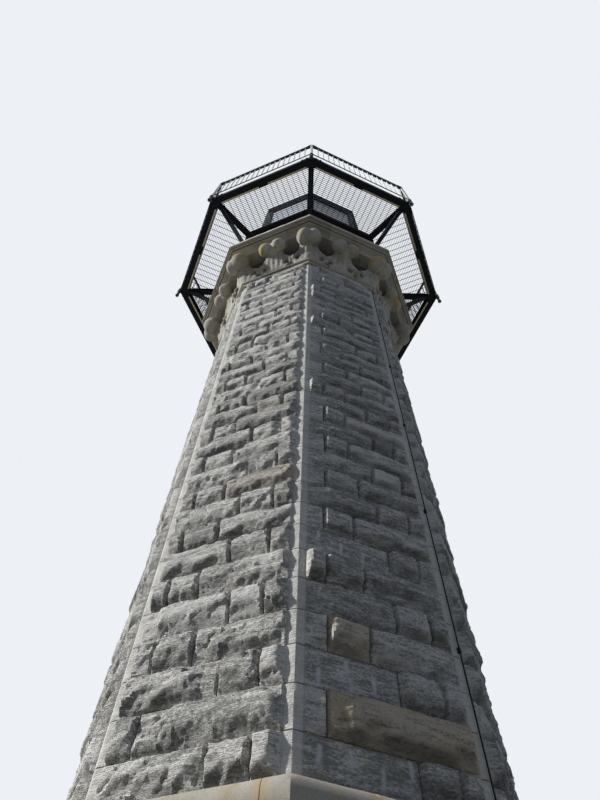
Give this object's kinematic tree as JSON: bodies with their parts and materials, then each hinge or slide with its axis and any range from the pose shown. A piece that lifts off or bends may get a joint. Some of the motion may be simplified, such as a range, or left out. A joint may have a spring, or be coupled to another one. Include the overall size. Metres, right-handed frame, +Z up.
{
  "type": "lighthouse",
  "caption": "Octagonal lighthouse of rock-faced ashlar with a leaf capital, a steel gallery with grating and railing, and a glazed lantern.",
  "frame": {"origin": "centre of the tower's foot, at ground level", "axes": "+Z up the tower, -Y out of the front face, +X to the right of it"},
  "size_m": [4.6868, 4.6868, 15.24],
  "materials": {
    "rock_faced_stone": "pitch-faced grey gneiss",
    "dressed_stone": "smooth dressed pale stone",
    "carved_stone": "carved and weathered cream-grey stone",
    "painted_wood": "dark painted planks",
    "dark_steel": "near-black paint",
    "grating_steel": "dark coated bar grating",
    "rail_steel": "dark paint, a little worn",
    "galvanised_steel": "weathered zinc coating",
    "pale_strip": "pale tan coating",
    "frosted_glass": "frosted"
  },
  "bodies": {
    "root": {"base_band": "dressed_stone", "base_wall_back_left": "rock_faced_stone", "base_wall_back_right": "rock_faced_stone", "base_wall_front": "rock_faced_stone", "base_wall_front_left": "rock_faced_stone", "base_wall_front_right": "rock_faced_stone", "base_wall_left": "rock_faced_stone", "base_wall_right": "rock_faced_stone", "capital_bell": "carved_stone", "capital_cap": "carved_stone", "corner_leaves": "carved_stone", "deck_grating": "grating_steel", "door_frame": "painted_wood", "door_leaf": "painted_wood", "door_lintel": "rock_faced_stone", "door_pier_left": "rock_faced_stone", "door_pier_right": "rock_faced_stone", "door_threshold": "dressed_stone", "drum": "dressed_stone", "edge_strips": "pale_strip", "face_leaves": "carved_stone", "ground_floor": "dressed_stone", "handrail": "rail_steel", "inner_ring_beam": "dark_steel", "knee_braces": "dark_steel", "lantern_eave": "dark_steel", "lantern_floor": "grating_steel", "lantern_glass": "frosted_glass", "lantern_posts": "dark_steel", "lantern_roof": "dark_steel", "lantern_sill": "dark_steel", "outer_ring_beam": "dark_steel", "radial_beams": "dark_steel", "rail_posts": "galvanised_steel", "railing_panels": "galvanised_steel", "roof_cap": "dark_steel", "set_off": "dressed_stone", "shaft_wall_back": "rock_faced_stone", "shaft_wall_back_left": "rock_faced_stone", "shaft_wall_back_right": "rock_faced_stone", "shaft_wall_front": "rock_faced_stone", "shaft_wall_front_left": "rock_faced_stone", "shaft_wall_front_right": "rock_faced_stone", "shaft_wall_left": "rock_faced_stone", "shaft_wall_right": "rock_faced_stone", "string_course": "carved_stone"}
  },
  "joints": []
}
